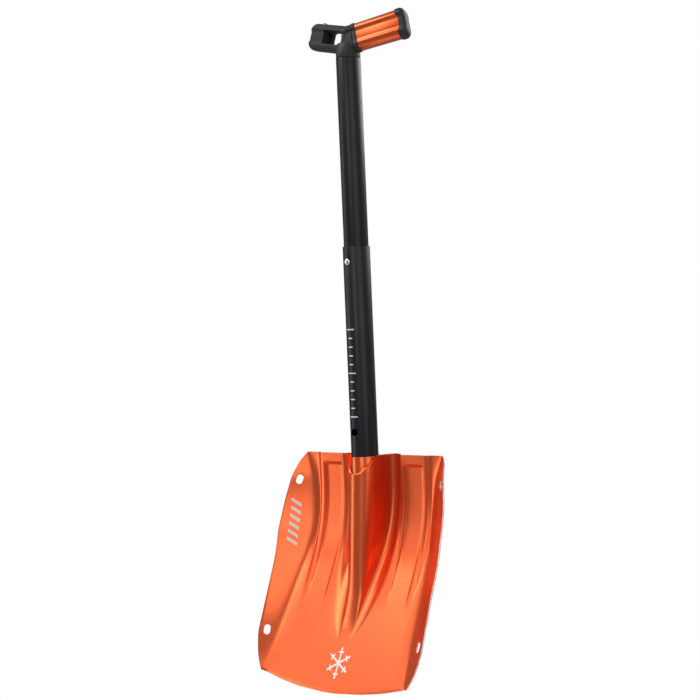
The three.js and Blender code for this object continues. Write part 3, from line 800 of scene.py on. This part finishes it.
def section_face(bm, half_x, half_y):
    """The filled outline of the shaft's section, centred on the origin."""
    corner_x, corner_y = 0.74 * half_x, 0.67 * half_y
    front = arc_radius(corner_x, half_y - corner_y)
    side = arc_radius(corner_y, half_x - corner_x)
    spin_arc(bm, (0, -half_y), (0, front - half_y), math.asin(corner_x / front), 10)
    spin_arc(bm, (half_x, 0), (half_x - side, 0), -math.asin(corner_y / side), 14)
    for axis in ("X", "Y"):
        bmesh.ops.mirror(bm, geom=bm.verts[:] + bm.edges[:], matrix=Matrix(), merge_dist=1e-4, axis=axis)
    bmesh.ops.remove_doubles(bm, verts=bm.verts, dist=1e-3)
    return bmesh.ops.contextual_create(bm, geom=bm.edges[:])["faces"]


def pull_up(bm, faces, length):
    moved_by(bm, bmesh.ops.extrude_face_region(bm, geom=faces)["geom"], (0, 0, length))


def draw_tube(half_x, half_y, low, high, wall=None):
    """A tube between two heights, or a solid bar when no wall is given."""
    bm = bmesh.new()
    faces = section_face(bm, half_x, half_y)
    if wall:
        bmesh.ops.inset_region(bm, faces=faces, thickness=wall, use_boundary=True, use_even_offset=True)
        bmesh.ops.delete(bm, geom=faces, context="FACES_ONLY")
    pull_up(bm, bm.faces[:], high - low)
    bmesh.ops.recalc_face_normals(bm, faces=bm.faces)
    bmesh.ops.translate(bm, vec=(0, 0, low), verts=bm.verts)
    return bm


def drill(radius, height, side, depth=40):
    """A round tool along Y, from the shaft's axis out through the front (-1) or the back (1)."""
    bm = bmesh.new()
    bmesh.ops.create_circle(bm, cap_ends=True, segments=40, radius=radius)
    pull_up(bm, bm.faces[:], depth)
    bmesh.ops.rotate(bm, matrix=Matrix.Rotation(-side * math.pi / 2, 3, "X"), verts=bm.verts)
    bmesh.ops.translate(bm, vec=(0, 0, height), verts=bm.verts)
    bmesh.ops.recalc_face_normals(bm, faces=bm.faces)
    place(bm)
    return make_piece("drill", bm)


print("a flat arc of 10 mm half chord and 2 mm depth has radius", arc_radius(10, 2), "mm")

# %% [markdown]
# The lower tube also has a long shallow flute down each side, which keys it in the scoop's socket. Plane
# cuts along the flute's edges and across it, where it fades out, give the mesh the points it needs. The
# points between them are then pressed in.

# %% Draw the shaft tubes
LOWER_HALF, UPPER_HALF, WALL = (13.4, 18.7), (11.9, 17.2), 1.2
LOWER_ENDS, UPPER_ENDS = (186, 498.5), (440, 713.5)
BUTTON_HOLE, EMPTY_HOLE, SCREW_HOLE, SCREW_H = 4.6, 4.3, 2.3, 701.5
FLUTE_TOP, FLUTE_HALF, FLUTE_DEPTH = 348, 8, 0.75
SHAFT_BUTTON_H, BLADE_BUTTON_H, TRAVEL = 481, 223, 195.2


def slice_at(bm, point, normal):
    bmesh.ops.bisect_plane(bm, geom=bm.verts[:] + bm.edges[:] + bm.faces[:], plane_co=point, plane_no=normal)


def press_flutes(bm):
    for y in (-FLUTE_HALF, -FLUTE_HALF + 0.8, FLUTE_HALF - 0.8, FLUTE_HALF):
        slice_at(bm, (0, y, 0), (0, 1, 0))
    for step in range(12):
        slice_at(bm, (0, 0, FLUTE_TOP - 6 * step), (0, 0, 1))
    side = arc_radius(0.67 * LOWER_HALF[1], 0.26 * LOWER_HALF[0])
    for vert in bm.verts:
        surface = LOWER_HALF[0] - side + math.sqrt(side**2 - min(vert.co.y, 12) ** 2)
        half = FLUTE_HALF * min(1, (FLUTE_TOP - vert.co.z) / 60)
        if abs(vert.co.y) < half - 0.4 and abs(vert.co.x) > surface - 0.5 * WALL:
            vert.co.x -= math.copysign(FLUTE_DEPTH * ease(FLUTE_TOP - vert.co.z, 0, 30), vert.co.x)


def shaft_scale(finish):
    """Centimetre marks for probing snow depth, long ones every five."""
    x, y, z = finish.axes()
    tens = (z - up(303)) / (10 * MM)
    fives = (z - up(303)) / (50 * MM)
    tick = (tens.maths("FRACT") < 0.13) * (abs(x) < 2.6 * MM)
    long_tick = (fives.maths("FRACT") < 0.026) * (abs(x) < 5 * MM)
    return tick.maths("MAXIMUM", long_tick) * inside(z, up(303), up(411)) * (y < 0)


def build_shaft():
    tube = draw_tube(*LOWER_HALF, *LOWER_ENDS, WALL)
    press_flutes(tube)
    place(tube)
    lower = make_piece("lower_tube", tube, black_anodised("black anodised lower tube", shaft_scale))
    front_holes = [drill(BUTTON_HOLE, SHAFT_BUTTON_H, -1), drill(EMPTY_HOLE, SHAFT_BUTTON_H - TRAVEL, -1)]
    combine(lower, "DIFFERENCE", *front_holes, drill(BUTTON_HOLE, BLADE_BUTTON_H, 1))
    break_edges(lower, 0.3, angle=50)
    hand_over(lower, "lower_shaft")
    tube = draw_tube(*UPPER_HALF, *UPPER_ENDS, WALL)
    place(tube)
    upper = make_piece("upper_tube", tube, black_anodised("black anodised upper tube"))
    combine(upper, "DIFFERENCE", drill(BUTTON_HOLE, SHAFT_BUTTON_H, -1), drill(SCREW_HOLE, SCREW_H, 1))
    break_edges(upper, 0.25, angle=50)
    hand_over(upper, "upper_shaft")


build_shaft()

# %% [markdown]
# ## Socket, plate and rivets
#
# Behind the rib, a thin oval sleeve lines the socket and a hat-shaped plate closes it from the back. Four
# rivets, ground flush on the snow side, hold plate and scoop together through the bottoms of the troughs.

# %% Build the socket
SLEEVE_HALF = [half + 1.2 for half in LOWER_HALF]
PLATE = 2
RIVET_X = 27.1
RIVET_HEIGHTS = {"upper": 243, "lower": 218}


def trough_y(height):
    return floor_y(height) + along(TROUGH_DEPTH, height)


def build_sleeve():
    tube = draw_tube(*SLEEVE_HALF, 190, 257.5, 0.8)
    place(tube)
    sleeve = make_piece("socket_lining", tube, ORANGE_PLAIN)
    combine(sleeve, "DIFFERENCE", drill(BUTTON_HOLE, BLADE_BUTTON_H, 1))
    break_edges(sleeve, 0.2, angle=50)
    hand_over(sleeve, "socket_sleeve")


def build_back_plate():
    seat = SLEEVE_HALF[1] + 0.3
    heights = [252, 238, 220.5, 207, 194]
    half_stations = 6
    bm = bmesh.new()
    bmesh.ops.create_grid(bm, x_segments=2 * half_stations - 2, y_segments=len(heights) - 1, size=1)
    for vert in bm.verts:
        column = round((vert.co.x + 1) * (half_stations - 1)) - (half_stations - 1)
        height = heights[round((1 - vert.co.y) / 2 * (len(heights) - 1))]
        flange = trough_y(height) + SHEET + 0.6
        stations = [(0, seat), (9, seat), (12.5, seat + 1), (19.5, flange + 0.2), (23, flange), (34, flange)]
        x, y = stations[abs(column)]
        vert.co = (math.copysign(x, column), y, height)
    place(bm)
    face_forwards(bm)
    plate = make_piece("socket_back_plate", bm, ORANGE_PLAIN)
    modify(plate, "SUBSURF", levels=2, render_levels=2)
    modify(plate, "SOLIDIFY", thickness=PLATE * MM, offset=-1, use_even_offset=True)
    settle(plate)
    combine(plate, "DIFFERENCE", drill(BUTTON_HOLE, BLADE_BUTTON_H, 1))
    break_edges(plate, 0.4, angle=50)
    hand_over(plate, "socket_back")


build_sleeve()
build_back_plate()

# %% [markdown]
# A rivet is a turned part, and so are the buttons and the screw. A half outline in radius and height is
# spun once round the axis, then stood in its place.

# %% Turn the rivets
def spun(name, profile, material, segments=48):
    """A turned part from its (radius, height) profile, still lying along Z in millimetres."""
    bm = bmesh.new()
    verts = [bm.verts.new((radius, 0, height)) for radius, height in profile]
    edges = [bm.edges.new(pair) for pair in zip(verts, verts[1:])]
    turn = {"cent": (0, 0, 0), "axis": (0, 0, 1), "angle": 2 * math.pi, "steps": segments}
    bmesh.ops.spin(bm, geom=verts + edges, use_merge=True, use_duplicate=False, **turn)
    bmesh.ops.remove_doubles(bm, verts=bm.verts, dist=1e-3)
    bmesh.ops.recalc_face_normals(bm, faces=bm.faces)
    return make_piece(name, bm, material)


def stand(piece, matrix):
    """Moves a turned part to its place, from millimetres over the cutting edge to the frame's metres."""
    piece.data.transform(Matrix.Translation((0, 0, up(0))) @ Matrix.Scale(MM, 4) @ matrix)
    return piece


def build_rivets():
    head, grip = 1.3, SHEET + PLATE + 1.4
    flush = [(0, 0), (1.9, 0), (2.3, 0.25)]
    shank = [(1.9, 0.6), (1.9, grip + 0.3)]
    upset = [(3.1, grip + 0.3), (3.15, grip + 0.5), (2.6, grip + 1.1), (1.4, grip + head), (0, grip + head)]
    for side_name, side in (("left", -1), ("right", 1)):
        for level, height in RIVET_HEIGHTS.items():
            rivet = spun(f"flush_rivet_{side_name}_{level}", flush + shank + upset, ORANGE_PLAIN)
            seat = Matrix.Translation((side * RIVET_X, trough_y(height), height))
            stand(rivet, seat @ Matrix.Rotation(-math.pi / 2, 4, "X"))
            break_edges(rivet, 0.1, angle=60)
            hand_over(rivet, f"rivet_{side_name}_{level}")


build_rivets()

# %% [markdown]
# ## Snap buttons
#
# A snap button is a polished steel dome with a flange on its inner end, pushed out through a hole by a
# spring. One locks the two tubes together, one behind the socket locks the scoop, and a third sits on top
# of the grip.

# %% Turn the buttons
def button_profile(reach):
    radius, dome = 4, 2.2
    neck = reach - dome
    flange = [(0, -1.2), (5.4, -1.2), (5.4, 0), (radius, 0), (radius, neck)]
    turns = [math.pi / 2 * step / 8 for step in range(1, 8)]
    return flange + [(radius * math.cos(t), neck + dome * math.sin(t)) for t in turns] + [(0, reach)]


def build_button(name, node, reach, matrix):
    button = stand(spun(name, button_profile(reach), POLISHED), matrix)
    break_edges(button, 0.12, angle=60)
    hand_over(button, node)


PROUD = 1.8
shaft_seat = UPPER_HALF[1] - WALL - 2.4
blade_seat = LOWER_HALF[1] - WALL - 2.4
build_button(
    "shaft_snap_button", "shaft_button", LOWER_HALF[1] + PROUD - shaft_seat,
    Matrix.Translation((0, -shaft_seat, SHAFT_BUTTON_H)) @ Matrix.Rotation(math.pi / 2, 4, "X"),
)
build_button(
    "socket_snap_button", "blade_button", SLEEVE_HALF[1] + 0.3 + PLATE + PROUD - blade_seat,
    Matrix.Translation((0, blade_seat, BLADE_BUTTON_H)) @ Matrix.Rotation(-math.pi / 2, 4, "X"),
)

# %% [markdown]
# ## The grip
#
# The T-grip is moulded nylon. Its left arm is hollowed by a window, and its right arm is a thin core that
# carries a collar, an orange sleeve and an end cap. Both arms sweep back and climb, so that a gloved hand
# wraps round the hub and pushes straight down the shaft.
#
# Each arm is easiest to draw in its own coordinates: X out along the arm, Z up its leaning section. A
# ring of points is a circle pushed into the section, and bridging rings makes the arm. The arms, hub and
# neck are joined, cut, and then remeshed and smoothed, which rounds every corner a little as a mould
# does.

# %% Arm coordinates
GRIP_HEIGHT = 733.5
ARM_SWEEP, ARM_LEAN = math.radians(19), math.radians(10)
ARM_RISE = math.radians(11.5)
LEFT, RIGHT = -1, 1


def arm_matrix(side):
    """From an arm's own coordinates to millimetres over the cutting edge."""
    out = Vector((side * math.cos(ARM_SWEEP), math.sin(ARM_SWEEP), math.tan(ARM_RISE))).normalized()
    level = Vector((0, 0, 1)).cross(out).normalized() * side
    upright = out.cross(level).normalized() * side
    across = (level * math.cos(ARM_LEAN) - upright * math.sin(ARM_LEAN)) * side
    leaning = upright * math.cos(ARM_LEAN) + level * math.sin(ARM_LEAN)
    turn = Matrix((out, across, leaning)).transposed().to_4x4()
    return Matrix.Translation((0, 0, GRIP_HEIGHT)) @ turn


def arm_ring(bm, out, scale, dish=0.0, steps=64):
    """One ring of an arm: a circle pushed into a tall rounded section with a drawn-in waist.

    The waist of a dished ring stands further out along the arm than its top and bottom.
    """
    ring = bmesh.ops.create_circle(bm, cap_ends=False, segments=steps, radius=1)["verts"]
    for vert in ring:
        c, s = vert.co.x, vert.co.y
        height = 16 * math.copysign(abs(s) ** 0.85, s)
        waist = 2.6 * (1 - ease(abs(height), 5.5, 9.5))
        depth = math.copysign(max(0, 11.8 * abs(c) ** 0.6 - waist), c)
        vert.co = (out + dish * (1 - ease(abs(height), 3, 12)), depth * scale, height * scale)
    return [edge for edge in bm.edges if edge.verts[0] in ring and edge.verts[1] in ring]


for arm in (LEFT, RIGHT):
    print("arm runs out along", [round(c, 3) for c in arm_matrix(arm).col[0]])


# %% Bars along an arm
def arm_bar(name, side, stations, material, closed=False):
    """A bar along an arm through stations of (distance out, section scale, and dish if it has one)."""
    bm = bmesh.new()
    rings = [arm_ring(bm, *station) for station in stations]
    for first, second in zip(rings, rings[1:]):
        bmesh.ops.bridge_loops(bm, edges=first + second)
    if closed:
        bmesh.ops.bridge_loops(bm, edges=rings[-1] + rings[0])
    else:
        bmesh.ops.contextual_create(bm, geom=rings[0])
        bmesh.ops.contextual_create(bm, geom=rings[-1])
    bmesh.ops.transform(bm, matrix=arm_matrix(side), verts=bm.verts)
    bmesh.ops.recalc_face_normals(bm, faces=bm.faces)
    place(bm)
    return make_piece(name, bm, material)


def round_end(end, fall):
    turns = [math.pi / 12 * step for step in range(7)]
    return [(end - fall * (1 - math.sin(t)), lerp(0.62, 1, math.cos(t))) for t in turns]


print("an arm's end closes in", len(round_end(70, 9)), "rings")

# %% Mould the grip
ARM_LENGTH, SLEEVE_START, SLEEVE_END, COLLAR_START = 70, 14, 63.5, 9
CORE_SCALE, GRIP_BUTTON_AT, GRIP_BUTTON_SEAT = 0.8, 54.5, 10.7
WINDOW = (0.5, -30, -7), (40, 30, 8)
WINDOW_SLOT = (39, -3.2, -5.5), (44, 3.2, 6)
VOXEL = 0.7


def arm_block(side, low, high, round_by=0.0):
    """A box-shaped tool in an arm's coordinates, its edges along the arm's depth rounded."""
    bm = bmesh.new()
    bmesh.ops.create_cube(bm, size=1)
    bmesh.ops.scale(bm, vec=[h - l for l, h in zip(low, high)], verts=bm.verts)
    bmesh.ops.translate(bm, vec=[(l + h) / 2 for l, h in zip(low, high)], verts=bm.verts)
    if round_by:
        deep = [edge for edge in bm.edges if abs(edge.verts[0].co.y - edge.verts[1].co.y) > 1]
        bmesh.ops.bevel(bm, geom=deep, offset=round_by, segments=5, profile=0.5, affect="EDGES", material=-1)
    bmesh.ops.transform(bm, matrix=arm_matrix(side), verts=bm.verts)
    bmesh.ops.recalc_face_normals(bm, faces=bm.faces)
    place(bm)
    return make_piece("arm_block", bm, PLASTIC)


def arm_drill(side, out, radius, low, high):
    bm = bmesh.new()
    bmesh.ops.create_circle(bm, cap_ends=True, segments=40, radius=radius)
    pull_up(bm, bm.faces[:], high - low)
    bmesh.ops.translate(bm, vec=(out, 0, low), verts=bm.verts)
    bmesh.ops.transform(bm, matrix=arm_matrix(side), verts=bm.verts)
    bmesh.ops.recalc_face_normals(bm, faces=bm.faces)
    place(bm)
    return make_piece("arm_drill", bm, PLASTIC)


print("window is", [high - low for low, high in zip(*WINDOW)], "mm before rounding")

# %% Loft the neck and join the grip
def loft_neck():
    """The neck: the tube's section easing into a rounder one under the hub."""
    bm = bmesh.new()
    levels = [
        (713.8, *UPPER_HALF), (717.5, *UPPER_HALF), (720.5, 12.2, 16.6), (723.5, 12.8, 15.6),
        (727, 13.5, 14), (730.5, 14, 12.5),
    ]
    section = draw_tube(1, 1, 0, 1)
    ring = sorted((v.co.copy() for v in section.verts if v.co.z < 0.5), key=lambda co: math.atan2(co.y, co.x))
    section.free()
    loops = []
    for height, half_x, half_y in levels:
        verts = [bm.verts.new((co.x * half_x, co.y * half_y, height)) for co in ring]
        loops.append([bm.edges.new(pair) for pair in zip(verts, verts[1:] + verts[:1])])
    for first, second in zip(loops, loops[1:]):
        bmesh.ops.bridge_loops(bm, edges=first + second)
    for loop in (loops[0], loops[-1]):
        bmesh.ops.contextual_create(bm, geom=loop)
    bmesh.ops.recalc_face_normals(bm, faces=bm.faces)
    place(bm)
    return make_piece("neck", bm, PLASTIC)


def mould_grip():
    left_arm = [(-4, 1), *round_end(ARM_LENGTH, 9)]
    grip = arm_bar("grip_moulding", LEFT, left_arm, PLASTIC)
    shoulder = arm_bar("shoulder", RIGHT, [(-4, 1), (COLLAR_START - 0.3, 1)], PLASTIC)
    combine(grip, "UNION", shoulder, loft_neck())
    trim = arm_bar("trim", RIGHT, [(COLLAR_START - 0.3, 1.3), (ARM_LENGTH, 1.3)], PLASTIC)
    combine(grip, "DIFFERENCE", trim)
    core = arm_bar("core", RIGHT, [(-4, CORE_SCALE - 0.03), (SLEEVE_END + 3, CORE_SCALE - 0.03)], PLASTIC)
    spigot_bm = draw_tube(UPPER_HALF[0] - 1.5, UPPER_HALF[1] - 1.5, 687.5, 721.5)
    place(spigot_bm)
    combine(grip, "UNION", core, make_piece("spigot", spigot_bm, PLASTIC))
    screw_hole = drill(SCREW_HOLE, SCREW_H, 1)
    screw_hole.data.transform(Matrix.Translation((0, 7.7 * MM, 0)))
    combine(
        grip, "DIFFERENCE",
        arm_block(LEFT, *WINDOW, round_by=2.5),
        arm_block(LEFT, *WINDOW_SLOT),
        arm_drill(LEFT, GRIP_BUTTON_AT, BUTTON_HOLE, 9, 24),
        arm_drill(LEFT, GRIP_BUTTON_AT, 5.8, -8, 11),
        screw_hole,
    )
    modify(grip, "REMESH", mode="VOXEL", voxel_size=VOXEL * MM)
    modify(grip, "SMOOTH", factor=0.5, iterations=3)
    settle(grip)
    grip.data.shade_smooth()
    grip.data.materials.clear()
    grip.data.materials.append(PLASTIC)
    hand_over(grip, "grip_body")


mould_grip()

# %% [markdown]
# The collar, the sleeve and the cap thread onto the core one after another. Each is a short loft along
# the same arm, with its edges broken so that the joints read as fine dark lines.

# %% Dress the right arm
CAP_SCALE, DISH = 1.10, 2.6


def dress_arm():
    start, end = COLLAR_START, SLEEVE_START - 0.3
    collar_rings = [(start, 1.04), (end, 1.04), (end, CORE_SCALE), (start, CORE_SCALE)]
    collar = arm_bar("grip_collar_ring", RIGHT, collar_rings, PLASTIC, closed=True)
    break_edges(collar, 0.6, angle=40, segments=3)
    hand_over(collar, "grip_collar")
    bore = CORE_SCALE + 0.02
    outside = [(SLEEVE_START, 0.98), (SLEEVE_END, 1.03, DISH)]
    sleeve_rings = [*outside, (SLEEVE_END, bore, DISH), (SLEEVE_START, bore)]
    sleeve = arm_bar("grip_orange_sleeve", RIGHT, sleeve_rings, GRIP_ORANGE, closed=True)
    break_edges(sleeve, 0.5, angle=50, segments=3)
    hand_over(sleeve, "grip_sleeve")
    ends = [(out, scale * CAP_SCALE) for out, scale in round_end(ARM_LENGTH + 4, 6)]
    cap = arm_bar("grip_cap", RIGHT, [(SLEEVE_END + 0.3, CAP_SCALE, DISH), *ends], PLASTIC)
    hollow = arm_bar("hollow", RIGHT, [(SLEEVE_END - 2, CORE_SCALE), (SLEEVE_END + 3.3, CORE_SCALE)], PLASTIC)
    combine(cap, "DIFFERENCE", hollow)
    break_edges(cap, 0.6, angle=40, segments=3)
    hand_over(cap, "grip_end_cap")


GRIP_ORANGE = orange_anodised("orange anodised sleeve")
dress_arm()
build_button(
    "grip_snap_button", "grip_button", 7,
    arm_matrix(LEFT) @ Matrix.Translation((GRIP_BUTTON_AT, 0, GRIP_BUTTON_SEAT)),
)

# %% [markdown]
# ## The screw and the hidden parts
#
# One screw from the back holds the grip on the upper tube. The springs behind the three buttons are
# copied from the packed model. The plug in the tube's end and the guide bush keep their packed shapes
# and only need a finish.

# %% Turn the screw and finish the rest
def build_screw():
    tip = 8
    head = UPPER_HALF[1] + 0.3 - tip
    rim = [(3.4, head), (3.4, head + 0.4), (3.1, head + 0.85), (2.4, head + 1.2), (1.9, head + 1.3)]
    profile = [(0, 0), (1.6, 0), (2, 0.5), (2, head), *rim, (1.9, head + 0.6), (0, head + 0.6)]
    seat = Matrix.Translation((0, tip, SCREW_H)) @ Matrix.Rotation(-math.pi / 2, 4, "X")
    screw = stand(spun("grip_screw", profile, SPRING), seat)
    break_edges(screw, 0.08, angle=60)
    hand_over(screw, "neck_screw")


def build_button_springs():
    """Copies of the packed springs behind the three buttons."""
    for button in ("shaft_button", "blade_button", "grip_button"):
        joint = JOINT[f"{button}_press"]
        push = Vector(joint["axis"]).normalized()
        bm = bmesh.new()
        bm.from_mesh(frame["nodes"][f"{button}_spring"].data)
        bmesh.ops.remove_doubles(bm, verts=bm.verts, dist=0.001 * MM)
        depths = [vert.co.dot(push) for vert in bm.verts]
        length = max(depths) - min(depths)
        spring = make_piece(f"{button}_return_spring", bm, SPRING)
        hand_over(spring, f"{button}_spring")
        keep = (length - joint["range_m"][1] - 0.3 * MM) / length
        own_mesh(spring)
        print("its", round(length / MM, 1), "mm keep", round(keep, 3), "when pressed")


build_screw()
build_button_springs()
for node in ("guide_bush", "lower_end_plug"):
    packed = frame["nodes"][node]
    packed.data.materials.clear()
    packed.data.materials.append(PLASTIC)
    print(node, "keeps its packed shape, in", PLASTIC.name)
